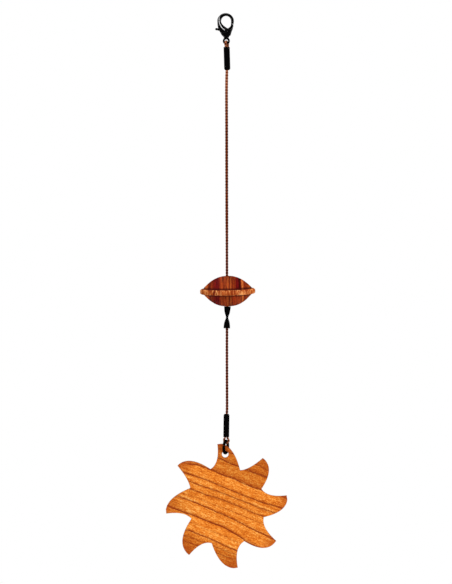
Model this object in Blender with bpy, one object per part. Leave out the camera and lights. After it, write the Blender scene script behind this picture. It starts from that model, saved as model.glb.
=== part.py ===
"""The striker line of a wind chime: a sprung clasp, a braided cord, a turned striker and a flat wooden sail.

Lengths are millimetres in the named values and metres in the scene. +Z is up and -Y faces the viewer.
The origin is the inside top of the clasp's hook, where the line hangs.
"""

import math

import bmesh
import bpy
import numpy as np
from mathutils import Matrix, Vector
from mathutils.geometry import delaunay_2d_cdt, tessellate_polygon

MM = 0.001
SMOOTH_ANGLE = math.radians(35)

# Clasp: the hook's opening, its outer round, and the eye below
OPENING_CENTRE = (0.0, -2.65)
OPENING_HALF_WIDTH = 2.5
OPENING_HALF_HEIGHT = 2.65
HOOK_CENTRE = (-0.25, -2.6)
HOOK_HALF_WIDTH = 4.15
HOOK_HALF_HEIGHT = 3.98
HOOK_TIP = (3.3, -4.1)
EYE_CENTRE = (0.12, -12.55)
EYE_RADIUS = 1.8
EYE_HOLE_RADIUS = 0.82
CLASP_EDGE_ROUND = 0.45
CLASP_TIP_ROUND = 0.12
# Half the clasp's thickness at heights from the eye's foot to the hook's top
CLASP_HEIGHTS = (-14.4, -12.4, -11.2, -10.3, -9.4, -5.8, -4.0, -1.0, 1.5)
CLASP_HALF_THICKNESS = (0.60, 0.65, 0.82, 1.20, 1.45, 1.45, 1.32, 1.15, 1.00)
CLASP_FACE_SPACING = 0.85

# Clasp lever, in a slot between the two cheeks
PIVOT = (-0.05, -7.8)
SLOT_WIDTH = 1.3
LEVER_THICKNESS = 0.9
LEVER_EDGE_ROUND = 0.12
BOSS_RADIUS = 1.2
GATE_THICKNESS = 1.9
GATE_EDGE_ROUND = 0.25
GATE_END_ROUND = 0.05
KNOB_CENTRE = (-4.8, -6.65)
KNOB_HALF_SIZES = (0.66, 0.85, 0.62)

# Rivet: a pin with a low head outside each cheek
RIVET_RADIUS = 0.45
RIVET_HOLE_RADIUS = 0.63
RIVET_HEAD_RADIUS = 0.8
RIVET_HEAD_FOOT = 1.6
RIVET_HEAD_TOP = 1.8

# Cord and its two loops
CORD_DIAMETER = 1.35
UPPER_ROUTE = (
    (0.52, 0.0, -24.6),
    (0.36, 0.0, -28.5),
    (0.22, 0.0, -37.0),
    (0.27, 0.0, -57.0),
    (0.32, 0.0, -87.0),
    (0.41, 0.0, -116.0),
    (0.44, 0.0, -130.0),
    (0.56, 0.0, -140.0),
    (0.6, 0.0, -147.0),
)
LOWER_ROUTE = (
    (0.44, 0.0, -154.5),
    (0.43, 0.0, -159.0),
    (0.41, 0.0, -166.0),
    (0.44, 0.0, -182.0),
    (0.47, 0.0, -191.0),
    (0.46, 0.0, -196.5),
    (0.3, 0.0, -200.0),
    (0.22, 0.0, -203.0),
)
LOOP_RADIUS = 0.52
LOOP_LEG_RADIUS = 0.45
LOOP_LEG_OFFSET = 0.53
LEG_DEPTH = 4.0

# Crimped tubes
TUBE_WALL = 0.27
TUBE_LIP = 0.12
CRIMPED_RADIUS = 1.16
CRIMPED_BORE_RADIUS = 0.92
CRIMP_LENGTH = 0.9
TOP_FERRULE_RADIUS = 1.48
TOP_FERRULE_TOP = (0.27, -15.6)
TOP_FERRULE_FOOT = (0.59, -27.1)
BOTTOM_FERRULE_RADIUS = 1.38
BOTTOM_FERRULE_TOP = (0.22, -199.0)
BOTTOM_FERRULE_FOOT = (0.06, -210.6)

# Stop: a tube pressed flat in its middle
STOP_TOP = (0.64, -145.3)
STOP_FOOT = (0.38, -156.2)
STOP_WAIST_HALF_WIDTH = 0.57
STOP_SWELL = 1.07
STOP_SWELL_REACH = 2.0
STOP_WAIST_HALF_DEPTH = 1.95
STOP_MOUTH_RADIUS = 1.2
STOP_MOUTH_FOOT_RADIUS = 1.0
STOP_MOUTH_DEPTH = 2.1

# Striker: two domes and a raised rim
STRIKER_CENTRE = (0.8, 0.0, -138.0)
STRIKER_RIM_RADIUS = 13.8
STRIKER_TOP_NECK = (11.7, 2.35)
STRIKER_FOOT_NECK = (11.4, 1.95)
STRIKER_TOP_HEIGHT = 7.95
STRIKER_FOOT_HEIGHT = 7.2
STRIKER_TOP_BULGE = 1.15
STRIKER_FOOT_BULGE = 0.85
STRIKER_BORE_RADIUS = 1.35
STRIKER_SEGMENTS = 36
STRIKER_LEAN = math.radians(-1.1)
STRIKER_NOD = math.radians(2.5)

# Link ring
RING_CENTRE = (-0.06, 0.0, -215.55)
RING_RADIUS = 3.2
RING_WIRE_RADIUS = 0.53
RING_TURN = math.radians(-21)
RING_LEAN = math.radians(3.4)
RING_SPLIT_ANGLE = math.radians(164)
RING_SPLIT_GAP = 0.25

# Sail
SAIL_CENTRE = (-0.05, -245.05)
SAIL_THICKNESS = 2.5
SAIL_EDGE_ROUND = 0.28
SAIL_HOLE_CENTRE = (-0.45, -219.15)
SAIL_HOLE_RADIUS = 1.65
# How far along each sawn edge its control point stands: under a half it is deeper where it starts
SAIL_BACK_LEAN = 0.3
SAIL_FRONT_LEAN = 0.3
# Each ray as it was sawn: the tip's turn clockwise from the top and its reach, the width of its blunt end, the
# bulge of its back, the hollow of its front, and the turn and reach of the valley behind it
SAIL_RAYS = (
    (-7.9, 31.2, 2.3, 2.10, 1.85, 21.6, 19.2),
    (37.5, 30.2, 1.0, 2.85, 1.00, 64.1, 19.7),
    (80.1, 30.8, 2.2, 2.25, 1.85, 106.2, 19.7),
    (124.8, 30.5, 0.4, 3.25, 1.80, 152.4, 19.8),
    (169.2, 31.3, 1.9, 2.55, 2.15, 201.1, 19.9),
    (217.0, 30.6, 1.0, 3.35, 1.85, 249.6, 18.4),
    (262.9, 30.1, 2.0, 2.00, 1.60, 296.6, 20.0),
    (309.8, 31.5, 0.8, 2.65, 0.80, 337.1, 20.0),
)

BLACK = (0.012, 0.012, 0.013)
CHERRY = (0.72, 0.30, 0.09)
ROSEWOOD = (0.26, 0.06, 0.02)
BRAID = (0.20, 0.06, 0.03)


def clear_scene():
    for thing in list(bpy.data.objects):
        bpy.data.objects.remove(thing, do_unlink=True)


def material(name, colour, roughness, metallic):
    made = bpy.data.materials.new(name)
    made.use_nodes = True
    shader = made.node_tree.nodes["Principled BSDF"]
    shader.inputs["Base Color"].default_value = (*colour, 1.0)
    shader.inputs["Roughness"].default_value = roughness
    shader.inputs["Metallic"].default_value = metallic
    return made


def add_object(name, points, faces, finish):
    """Put a closed mesh, given in millimetres, into the scene with its faces outward."""
    mesh = bpy.data.meshes.new(name)
    mesh.from_pydata([tuple(c * MM for c in p) for p in points], [], faces)
    work = bmesh.new()
    work.from_mesh(mesh)
    bmesh.ops.recalc_face_normals(work, faces=work.faces)
    work.to_mesh(mesh)
    work.free()
    mesh.shade_smooth()
    mesh.set_sharp_from_angle(angle=SMOOTH_ANGLE)
    mesh.materials.append(finish)
    thing = bpy.data.objects.new(name, mesh)
    bpy.context.scene.collection.objects.link(thing)
    return thing


def combine(thing, other, operation):
    """Cut another object from a thing, or join it on. The other one stays as a hidden guide."""
    step = thing.modifiers.new(other.name, "BOOLEAN")
    step.operation = operation
    step.solver = "EXACT"
    step.object = other
    other.hide_render = True
    other.display_type = "WIRE"


def round_arc(centre, half_width, half_height, first, last, steps):
    """Points on an ellipse from one angle to another, in degrees, with both ends."""
    turns = np.radians(np.linspace(first, last, steps + 1))
    return [
        (centre[0] + half_width * math.cos(t), centre[1] + half_height * math.sin(t)) for t in turns
    ]


def bowed(start, end, bulge, lean, steps):
    """Points from start up to, not with, end on a curve that stands bulge to the left of their chord.

    It is the parabola whose control point is lean of the way along the chord and twice the bulge from it.
    """
    (x0, z0), (x1, z1) = start, end
    chord = math.hypot(x1 - x0, z1 - z0)
    along = Vector((x1 - x0, z1 - z0)) / chord
    left = Vector((-along.y, along.x))
    points = []
    for k in range(steps):
        t = k / steps
        run = chord * (2 * t * (1 - t) * lean + t * t)
        spot = Vector(start) + along * run + left * 4 * bulge * t * (1 - t)
        points.append((spot.x, spot.y))
    return points


def signed_area(loop):
    return sum(a[0] * b[1] - b[0] * a[1] for a, b in zip(loop, loop[1:] + loop[:1])) / 2


def inset(loop, distances):
    """Move each corner of a loop to its left by its own distance, along the mitre of its two sides."""
    moved = []
    for before, here, after, distance in zip(loop[-1:] + loop[:-1], loop, loop[1:] + loop[:1], distances):
        into = Vector((here[0] - before[0], here[1] - before[1])).normalized()
        out = Vector((after[0] - here[0], after[1] - here[1])).normalized()
        left_in, left_out = Vector((-into.y, into.x)), Vector((-out.y, out.x))
        mitre = (left_in + left_out).normalized()
        reach = distance / max(0.4, mitre.dot(left_in))
        moved.append((here[0] + mitre.x * reach, here[1] + mitre.y * reach))
    return moved


def inside(spot, loop):
    """Whether a spot is inside a loop, by how many of its sides a line to the right crosses."""
    crossings = 0
    for (x0, z0), (x1, z1) in zip(loop, loop[1:] + loop[:1]):
        if (z0 > spot[1]) != (z1 > spot[1]):
            crossings += spot[0] < x0 + (x1 - x0) * (spot[1] - z0) / (z1 - z0)
    return crossings % 2 == 1


def fill_flat(loops, spacing):
    """Triangles between an outline and its holes, with a grid of inner spots where spacing is given."""
    spots = [Vector(p) for loop in loops for p in loop]
    if spacing is None:
        return spots, tessellate_polygon([[Vector((x, z, 0.0)) for x, z in loop] for loop in loops])
    rim = list(spots)
    sides = []
    for loop in loops:
        first = len(sides)
        sides += [(first + k, first + (k + 1) % len(loop)) for k in range(len(loop))]

    def in_face(spot):
        return inside(spot, loops[0]) and not any(inside(spot, hole) for hole in loops[1:])

    xs, zs = zip(*loops[0])
    for z in np.arange(min(zs), max(zs), spacing):
        for x in np.arange(min(xs), max(xs), spacing):
            spot = Vector((x, z))
            if in_face(spot) and min((spot - other).length for other in rim) > 0.6 * spacing:
                spots.append(spot)
    triangles = delaunay_2d_cdt(spots, sides, [], 0, 1e-6)[2]
    middles = [sum((spots[k] for k in t), Vector((0, 0))) / 3 for t in triangles]
    return spots, [t for t, middle in zip(triangles, middles) if in_face(middle)]


def plate(name, outline, holes, half_thickness, edge_round, steps, finish, spacing=None):
    """A plate in the XZ plane with rounded rims. half_thickness and edge_round are given by place.

    Each loop of the outline is carried through a quarter round on both faces, and the faces are filled in.
    """
    loops = [outline if signed_area(outline) > 0 else outline[::-1]]
    loops += [hole if signed_area(hole) < 0 else hole[::-1] for hole in holes]
    quarter = [math.pi / 2 * k / steps for k in range(steps + 1)]
    levels = [(-1, a) for a in quarter[::-1]] + [(1, a) for a in quarter]
    points, faces = [], []
    edge_numbers = {-1: [], 1: []}
    flat_loops = []
    for loop in loops:
        count = len(loop)
        first = len(points)
        rounds = [edge_round(x, z) for x, z in loop]
        for side, turn in levels:
            ring = inset(loop, [r * (1 - math.cos(turn)) for r in rounds])
            for (x, z), r in zip(ring, rounds):
                points.append((x, side * (half_thickness(z) - r * (1 - math.sin(turn))), z))
        for level in range(len(levels) - 1):
            low = first + level * count
            for k in range(count):
                after = (k + 1) % count
                faces.append((low + k, low + after, low + count + after, low + count + k))
        top = first + (len(levels) - 1) * count
        edge_numbers[-1] += range(first, first + count)
        edge_numbers[1] += range(top, top + count)
        flat_loops.append(inset(loop, rounds))
    spots, triangles = fill_flat(flat_loops, spacing)
    for side in (-1, 1):
        numbers = list(edge_numbers[side])
        for spot in spots[len(numbers):]:
            numbers.append(len(points))
            points.append((spot.x, side * half_thickness(spot.y), spot.y))
        faces += [tuple(numbers[k] for k in triangle) for triangle in triangles]
    return add_object(name, points, faces, finish)


def prism(name, outline, half_depth, finish):
    """A straight block with an XZ outline, for cutting."""
    count = len(outline)
    points = [(x, side * half_depth, z) for side in (-1, 1) for x, z in outline]
    faces = [tuple(range(count)), tuple(range(2 * count - 1, count - 1, -1))]
    faces += [(k, (k + 1) % count, count + (k + 1) % count, count + k) for k in range(count)]
    return add_object(name, points, faces, finish)


def curve_through(stops, steps):
    """Points on the smooth curve that passes through every stop, steps to each span."""
    stops = np.array(stops, float)
    ends = np.vstack([2 * stops[0] - stops[1], stops, 2 * stops[-1] - stops[-2]])
    points = []
    for a, b, c, d in zip(ends, ends[1:], ends[2:], ends[3:]):
        for t in np.arange(steps) / steps:
            bend = (2 * a - 5 * b + 4 * c - d) * t**2 + (3 * b - a - 3 * c + d) * t**3
            points.append(b + ((c - a) * t + bend) / 2)
    return np.vstack([points, stops[-1]])


def skin(name, rings, sides, finish):
    """A closed body over a run of rings that each have the same number of points, with flat ends."""
    points = [tuple(spot) for ring in rings for spot in ring]
    last = (len(rings) - 1) * sides
    faces = [tuple(range(sides))[::-1], tuple(range(last, last + sides))]
    for low in range(0, last, sides):
        for k in range(sides):
            after = (k + 1) % sides
            faces.append((low + k, low + after, low + sides + after, low + sides + k))
    return add_object(name, points, faces, finish)


def wire(name, route, radii, sides, finish):
    """A round wire along an open route, with flat ends. Each ring is carried on from the last without twist."""
    route = np.array(route, float)
    heading = np.gradient(route, axis=0)
    heading /= np.linalg.norm(heading, axis=1)[:, None]
    across = np.cross(heading[0], (0.0, 0.0, 1.0) if abs(heading[0][2]) < 0.9 else (0.0, 1.0, 0.0))
    turns = 2 * np.pi * np.arange(sides) / sides
    rings = []
    for place, ahead, radius in zip(route, heading, radii):
        across = across - ahead * across.dot(ahead)
        across /= np.linalg.norm(across)
        up = np.cross(ahead, across)
        rings.append([place + radius * (math.cos(t) * across + math.sin(t) * up) for t in turns])
    return skin(name, rings, sides, finish)


def turned(name, profile, segments, finish):
    """A closed profile of radius and height, turned about the Z axis, in its own frame."""
    count = len(profile)
    points = []
    for s in range(segments):
        turn = 2 * math.pi * s / segments
        points += [(r * math.cos(turn), r * math.sin(turn), z) for r, z in profile]
    faces = []
    for s in range(segments):
        here, there = s * count, (s + 1) % segments * count
        for k in range(count):
            after = (k + 1) % count
            faces.append((here + k, there + k, there + after, here + after))
    return add_object(name, points, faces, finish)


def turned_cap(name, profile, segments, finish):
    """A profile that starts and ends on the axis, turned about Z into a closed solid."""
    inner = profile[1:-1]
    count = len(inner)
    points = [(0.0, 0.0, profile[0][1]), (0.0, 0.0, profile[-1][1])]
    for s in range(segments):
        turn = 2 * math.pi * s / segments
        points += [(r * math.cos(turn), r * math.sin(turn), z) for r, z in inner]
    faces = []
    for s in range(segments):
        here, there = 2 + s * count, 2 + (s + 1) % segments * count
        faces.append((0, here, there))
        faces.append((1, there + count - 1, here + count - 1))
        faces += [(here + k, here + k + 1, there + k + 1, there + k) for k in range(count - 1)]
    return add_object(name, points, faces, finish)


def place_at(thing, turn, spot):
    """Turn a thing's mesh about the origin and then carry it to a spot given in millimetres."""
    thing.data.transform(turn.to_4x4())
    thing.data.transform(Matrix.Translation(Vector(spot) * MM))


def clasp_thickness(z):
    return float(np.interp(z, CLASP_HEIGHTS, CLASP_HALF_THICKNESS))


def claw_round(x, z):
    """The claw's cast edge: full round all over, and finer at the hook's thin tip and in the eye."""
    to_tip = math.dist((x, z), HOOK_TIP)
    from_eye = math.dist((x, z), EYE_CENTRE)
    if from_eye < EYE_RADIUS + 0.1:
        return CLASP_EDGE_ROUND / 2
    return float(np.interp(to_tip, (0.8, 2.2), (CLASP_TIP_ROUND, CLASP_EDGE_ROUND)))


def make_clasp_body(finish):
    """The claw: eye, neck, cheeks, the spine on the left, and the hook over the top to its lapped tip."""
    spine = [(-1.05, -10.8), (-1.45, -10.1), (-2.2, -9.2), (-2.78, -8.2), (-3.32, -7.35)]
    spine += [(-3.88, -6.5), (-4.15, -5.5), (-4.3, -4.3)]
    over = round_arc(HOOK_CENTRE, HOOK_HALF_WIDTH, HOOK_HALF_HEIGHT, 190, -14, 20)
    tip = [(3.72, -4.1), (3.62, -4.48), (3.2, -3.95), (2.85, -3.58)]
    under = round_arc(OPENING_CENTRE, OPENING_HALF_WIDTH, OPENING_HALF_HEIGHT, -10, 194, 20)
    lap = [(-2.0, -4.1), (-1.22, -4.95), (-0.38, -5.58), (0.33, -6.05), (0.8, -6.22)]
    shoulder = [(1.6, -6.33), (2.4, -6.6), (3.02, -6.98)]
    flank = [(2.75, -7.6), (2.43, -8.55), (2.03, -9.4), (1.52, -10.1), (1.2, -10.8)]
    eye = round_arc(EYE_CENTRE, EYE_RADIUS, EYE_RADIUS, 42, -222, 22)
    eye_hole = round_arc(EYE_CENTRE, EYE_HOLE_RADIUS, EYE_HOLE_RADIUS, 0, 360, 18)[:-1]
    claw = plate(
        "clasp_body",
        spine + over + tip + under + lap + shoulder + flank + eye,
        [eye_hole],
        clasp_thickness,
        claw_round,
        2,
        finish,
        CLASP_FACE_SPACING,
    )
    slot = [(-5.6, -5.9), (-0.55, -5.9), (-0.55, -4.8), (2.55, -4.8), (2.55, -6.9)]
    slot += [(1.55, -9.3), (-5.6, -9.3)]
    combine(claw, prism("slot_cutter", slot, SLOT_WIDTH / 2, finish), "DIFFERENCE")
    hole = round_arc(PIVOT, RIVET_HOLE_RADIUS, RIVET_HOLE_RADIUS, 0, 360, 20)[:-1]
    combine(claw, prism("rivet_hole_cutter", hole, 2 * SLOT_WIDTH, finish), "DIFFERENCE")
    return claw


def make_clasp_trigger(finish):
    """The lever: a flat arm on the rivet, the gate that shuts against the hook's tip, and the finger knob."""
    upper = [(-4.4, -6.3), (-3.4, -6.4), (-2.2, -6.55), (-0.9, -6.5), (0.2, -6.4), (1.1, -6.15)]
    upper += [(1.7, -5.75), (2.3, -5.2), (2.55, -4.75)]
    lower = [(3.3, -4.95), (3.25, -5.7), (2.85, -6.25), (2.2, -7.0), (1.5, -7.7)]
    boss = round_arc(PIVOT, BOSS_RADIUS, BOSS_RADIUS, -12, -150, 8)
    tail = [(-1.7, -8.0), (-2.6, -7.72), (-3.6, -7.45), (-4.4, -7.2)]
    hole = round_arc(PIVOT, RIVET_HOLE_RADIUS, RIVET_HOLE_RADIUS, 0, 360, 20)[:-1]
    lever = plate(
        "clasp_trigger",
        upper + lower + boss + tail,
        [hole],
        lambda z: LEVER_THICKNESS / 2,
        lambda x, z: LEVER_EDGE_ROUND,
        1,
        finish,
    )
    face = [(1.25, -6.02), (1.62, -5.78), (2.02, -5.45), (2.28, -5.0), (2.38, -4.5), (2.38, -3.95), (2.26, -3.42)]
    back = [(2.42, -3.52), (2.98, -4.15), (3.4, -4.7), (3.64, -5.1), (3.6, -5.7), (3.38, -6.25), (3.15, -6.68)]
    foot = [(2.45, -6.33), (1.75, -6.1)]
    gate = plate(
        "gate_blank",
        face + back + foot,
        [],
        lambda z: GATE_THICKNESS / 2,
        lambda x, z: float(np.interp(
            min(math.dist((x, z), face[0]), math.dist((x, z), face[-1])),
            (0.4, 1.6),
            (GATE_END_ROUND, GATE_EDGE_ROUND),
        )),
        2,
        finish,
    )
    combine(lever, gate, "UNION")
    half_turns = [math.pi * k / 8 for k in range(9)]
    knob = turned_cap("knob_blank", [(math.sin(t), math.cos(t)) for t in half_turns], 14, finish)
    knob.data.transform(Matrix.Diagonal((*KNOB_HALF_SIZES, 1.0)))
    knob.data.transform(Matrix.Translation((KNOB_CENTRE[0] * MM, 0.0, KNOB_CENTRE[1] * MM)))
    combine(lever, knob, "UNION")
    return lever


def make_clasp_rivet(finish):
    """The pivot pin, with a low domed head standing just off each cheek."""
    half = [
        (0.0, RIVET_HEAD_TOP),
        (0.4, RIVET_HEAD_TOP - 0.03),
        (RIVET_HEAD_RADIUS, RIVET_HEAD_FOOT + 0.06),
        (RIVET_HEAD_RADIUS, RIVET_HEAD_FOOT),
        (RIVET_RADIUS, RIVET_HEAD_FOOT),
    ]
    rivet = turned_cap("clasp_rivet", half + [(r, -z) for r, z in half[::-1]], 20, finish)
    place_at(rivet, Matrix.Rotation(math.pi / 2, 3, "X"), (PIVOT[0], 0.0, PIVOT[1]))
    return rivet


def on_axis(top, foot, drop):
    """The point a given distance down a tube's axis from its top."""
    high, low = Vector((top[0], 0.0, top[1])), Vector((foot[0], 0.0, foot[1]))
    return high + (low - high).normalized() * drop


def make_ferrule(name, radius, mouth_end, crimped_end, finish):
    """A tube with a plain mouth for a loop's two legs, and its other end crimped in over the single cord."""
    start, end = Vector((mouth_end[0], 0.0, mouth_end[1])), Vector((crimped_end[0], 0.0, crimped_end[1]))
    length = (end - start).length
    bore = radius - TUBE_WALL
    profile = [
        (bore, 0.0),
        (radius - TUBE_LIP, 0.0),
        (radius, TUBE_LIP),
        (radius, length - CRIMP_LENGTH),
        (radius - 0.08, length - CRIMP_LENGTH / 2),
        (CRIMPED_RADIUS, length),
        (CRIMPED_BORE_RADIUS, length),
        (bore, length - CRIMP_LENGTH),
    ]
    tube = turned(name, profile, 24, finish)
    place_at(tube, (end - start).to_track_quat("Z", "Y").to_matrix(), start)
    return tube


def make_stop(finish):
    """A tube pinched flat across its middle: narrow from the front and wide in depth there, round at its mouths.

    Half its width grows from the waist by swell times d squared over d squared plus reach squared.
    """
    high, low = Vector((STOP_TOP[0], 0.0, STOP_TOP[1])), Vector((STOP_FOOT[0], 0.0, STOP_FOOT[1]))
    half = (high - low).length / 2
    sides = 20
    drops = half * np.linspace(-1, 1, 17)
    share = drops**2 / (drops**2 + STOP_SWELL_REACH**2)
    widths = STOP_WAIST_HALF_WIDTH + STOP_SWELL * share
    depths = widths[0] + (STOP_WAIST_HALF_DEPTH - widths[0]) * (1 - share / share[0]) ** 0.8
    mouth = [
        (half, STOP_MOUTH_RADIUS, STOP_MOUTH_RADIUS),
        (half - STOP_MOUTH_DEPTH, STOP_MOUTH_FOOT_RADIUS, STOP_MOUTH_FOOT_RADIUS),
    ]
    rows = [(-d, w, p) for d, w, p in mouth[::-1]] + list(zip(drops, widths, depths)) + mouth
    turns = 2 * np.pi * np.arange(sides) / sides
    rings = [[(w * math.cos(t), p * math.sin(t), d) for t in turns] for d, w, p in rows]
    stop = skin("stop_ferrule", rings, sides, finish)
    place_at(stop, Vector((0, 0, 1)).rotation_difference(high - low).to_matrix(), (high + low) / 2)
    return stop


def make_cord(name, route, finish):
    """A plain round cord along the smooth curve through its route."""
    points = curve_through(route, 4)
    spline_data = bpy.data.curves.new(name, "CURVE")
    spline_data.dimensions = "3D"
    spline_data.bevel_depth = CORD_DIAMETER / 2 * MM
    spline_data.bevel_resolution = 2
    spline_data.use_fill_caps = True
    spline_data.render_resolution_u = 0
    spline = spline_data.splines.new("POLY")
    spline.points.add(len(points) - 1)
    for spot, place in zip(spline.points, points):
        spot.co = (*(c * MM for c in place), 1.0)
    spline_data.materials.append(finish)
    cord = bpy.data.objects.new(name, spline_data)
    bpy.context.scene.collection.objects.link(cord)
    return cord


def make_loop(name, left_leg, bend, right_leg, finish):
    """A loop of cord from one leg in a ferrule, round its bend, and back beside itself."""
    route = curve_through(left_leg + bend + right_leg, 3)
    in_tube = len(left_leg) * 3 - 2
    radii = np.full(len(route), LOOP_RADIUS)
    radii[:in_tube] = LOOP_LEG_RADIUS
    radii[-in_tube:] = LOOP_LEG_RADIUS
    return wire(name, route, radii, 10, finish)


def make_top_loop(finish):
    """The loop through the clasp's eye: its front leg on the left, and its back leg on the right."""
    deep = on_axis(TOP_FERRULE_TOP, TOP_FERRULE_FOOT, LEG_DEPTH)
    mouth = on_axis(TOP_FERRULE_TOP, TOP_FERRULE_FOOT, 0.3)
    aside = Vector((LOOP_LEG_OFFSET, LOOP_LEG_OFFSET, 0.0)) * math.sqrt(0.5)
    front = [tuple(deep - aside), tuple(mouth - aside)]
    back = [tuple(mouth + aside), tuple(deep + aside)]
    bend = [
        (-0.2, -0.98, -14.8),
        (-0.1, -1.35, -13.8),
        (0.06, -0.98, -12.82),
        (0.17, 0.0, -12.5),
        (0.33, 0.98, -12.82),
        (0.7, 1.35, -13.8),
        (0.85, 0.98, -14.8),
    ]
    return make_loop("top_loop", front, bend, back, finish)


def make_bottom_loop(finish):
    """The loop round the link ring's top, open to the front."""
    deep = on_axis(BOTTOM_FERRULE_FOOT, BOTTOM_FERRULE_TOP, LEG_DEPTH)
    mouth = on_axis(BOTTOM_FERRULE_FOOT, BOTTOM_FERRULE_TOP, 0.1)
    aside = Vector((LOOP_LEG_OFFSET, 0.0, 0.0))
    left = [tuple(deep - aside), tuple(mouth - aside)]
    right = [tuple(mouth + aside), tuple(deep + aside)]
    bend = [
        (-0.98, 0.0, -211.7),
        (-1.0, 0.0, -212.7),
        (-0.5, 0.0, -213.42),
        (0.1, 0.0, -213.62),
        (0.7, 0.0, -213.42),
        (1.22, 0.0, -212.7),
        (1.16, 0.0, -211.7),
    ]
    return make_loop("bottom_loop", left, bend, right, finish)


def make_striker(finish):
    """The bead as it comes off the lathe: a low dome each way, and a rim between hollow fillets."""

    def dome(neck, height, bulge):
        mouth = (STRIKER_BORE_RADIUS, height - 0.05)
        return bowed(neck, mouth, -bulge, 0.5, 8) + [mouth]

    rim = STRIKER_RIM_RADIUS
    top_edge = [(rim - 0.06, 0.7), (rim - 0.4, 1.15), (rim - 0.9, 1.45), (rim - 1.5, 1.8)]
    foot_edge = [(rim - 0.06, 0.65), (rim - 0.4, 1.02), (rim - 0.95, 1.25), (rim - 1.7, 1.5)]
    upper = [(rim, 0.0)] + top_edge + dome(STRIKER_TOP_NECK, STRIKER_TOP_HEIGHT, STRIKER_TOP_BULGE)
    lower = foot_edge + dome(STRIKER_FOOT_NECK, STRIKER_FOOT_HEIGHT, STRIKER_FOOT_BULGE)
    bead = turned("striker", upper + [(r, -z) for r, z in lower[::-1]], STRIKER_SEGMENTS, finish)
    bead.rotation_euler = (STRIKER_NOD, STRIKER_LEAN, 0.0)
    bead.location = [c * MM for c in STRIKER_CENTRE]
    return bead


def make_link_ring(finish):
    """A ring bent from round wire, with its cut ends almost meeting on the near side."""
    half_gap = RING_SPLIT_GAP / RING_RADIUS / 2
    turns = np.linspace(RING_SPLIT_ANGLE + half_gap, RING_SPLIT_ANGLE + 2 * math.pi - half_gap, 33)
    route = [(0.0, RING_RADIUS * math.cos(t), RING_RADIUS * math.sin(t)) for t in turns]
    ring = wire("link_ring", route, [RING_WIRE_RADIUS] * len(route), 10, finish)
    ring.rotation_euler = (0.0, RING_LEAN, RING_TURN)
    ring.location = [c * MM for c in RING_CENTRE]
    return ring


def make_sail(finish):
    """The sun: between a ray's tip and the valleys at its sides, each edge is one leaning curve."""

    def place(turn, reach):
        angle = math.radians(turn)
        return SAIL_CENTRE[0] + reach * math.sin(angle), SAIL_CENTRE[1] + reach * math.cos(angle)

    outline = []
    valley_before = place(*SAIL_RAYS[-1][5:])
    for turn, reach, blunt, bulge, hollow, valley_turn, valley_reach in SAIL_RAYS:
        tip = place(turn, reach)
        tip_end = place(turn + math.degrees(blunt / reach), reach)
        valley = place(valley_turn, valley_reach)
        outline += bowed(valley_before, tip, -hollow, SAIL_FRONT_LEAN, 6)
        outline.append(tip)
        outline += bowed(tip_end, valley, bulge, SAIL_BACK_LEAN, 8)
        valley_before = valley
    hole = round_arc(SAIL_HOLE_CENTRE, SAIL_HOLE_RADIUS, SAIL_HOLE_RADIUS, 0, 360, 24)[:-1]
    return plate(
        "sail",
        outline,
        [hole],
        lambda z: SAIL_THICKNESS / 2,
        lambda x, z: SAIL_EDGE_ROUND,
        1,
        finish,
    )


def build():
    clear_scene()
    black = material("black_metal", BLACK, 0.35, 0.8)
    cherry = material("cherry_wood", CHERRY, 0.55, 0.0)
    rosewood = material("striker_wood", ROSEWOOD, 0.5, 0.0)
    braid = material("braided_cord", BRAID, 0.85, 0.0)
    make_clasp_body(black)
    make_clasp_trigger(black)
    make_clasp_rivet(black)
    make_top_loop(braid)
    make_ferrule("top_ferrule", TOP_FERRULE_RADIUS, TOP_FERRULE_TOP, TOP_FERRULE_FOOT, black)
    make_cord("cord_upper", UPPER_ROUTE, braid)
    make_striker(rosewood)
    make_stop(black)
    make_cord("cord_lower", LOWER_ROUTE, braid)
    make_ferrule("bottom_ferrule", BOTTOM_FERRULE_RADIUS, BOTTOM_FERRULE_FOOT, BOTTOM_FERRULE_TOP, black)
    make_bottom_loop(braid)
    make_link_ring(black)
    make_sail(cherry)


build()
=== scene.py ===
import math

import bpy
import numpy as np
from mathutils import Matrix, Vector
from mathutils.geometry import tessellate_polygon


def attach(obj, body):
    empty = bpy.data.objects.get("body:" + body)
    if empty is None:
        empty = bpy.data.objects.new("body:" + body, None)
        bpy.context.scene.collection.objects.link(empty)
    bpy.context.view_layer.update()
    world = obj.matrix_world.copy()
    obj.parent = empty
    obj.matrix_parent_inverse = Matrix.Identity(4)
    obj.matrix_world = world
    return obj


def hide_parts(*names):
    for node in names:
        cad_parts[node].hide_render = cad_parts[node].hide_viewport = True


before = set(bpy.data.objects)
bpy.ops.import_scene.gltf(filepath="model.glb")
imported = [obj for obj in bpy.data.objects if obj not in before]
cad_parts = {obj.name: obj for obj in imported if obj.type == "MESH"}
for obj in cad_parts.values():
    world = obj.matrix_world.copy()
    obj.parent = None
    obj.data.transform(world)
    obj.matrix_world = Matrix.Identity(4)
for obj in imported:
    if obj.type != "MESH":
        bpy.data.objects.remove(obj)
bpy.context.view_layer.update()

MM = 0.001


# Camera, ground and light
# The line hangs in front of a bright white ground, seen level through a long lens. A pale floor lies below the
# picture. Four soft boxes light it from the sides, from above and from behind, and leave the camera's side dark,
# so that black metal that faces the camera stays black.

VIEW_CENTRE = (-0.05, 0.0, -138.05)
VIEW_HEIGHT = 292.0
LENS = 200.0
SENSOR = 36.0
GROUND_GLOW = 0.42
GROUND_MIRROR = 0.03
FLOOR_HEIGHT = -345.0
FLOOR_RADIUS = 350.0


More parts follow.
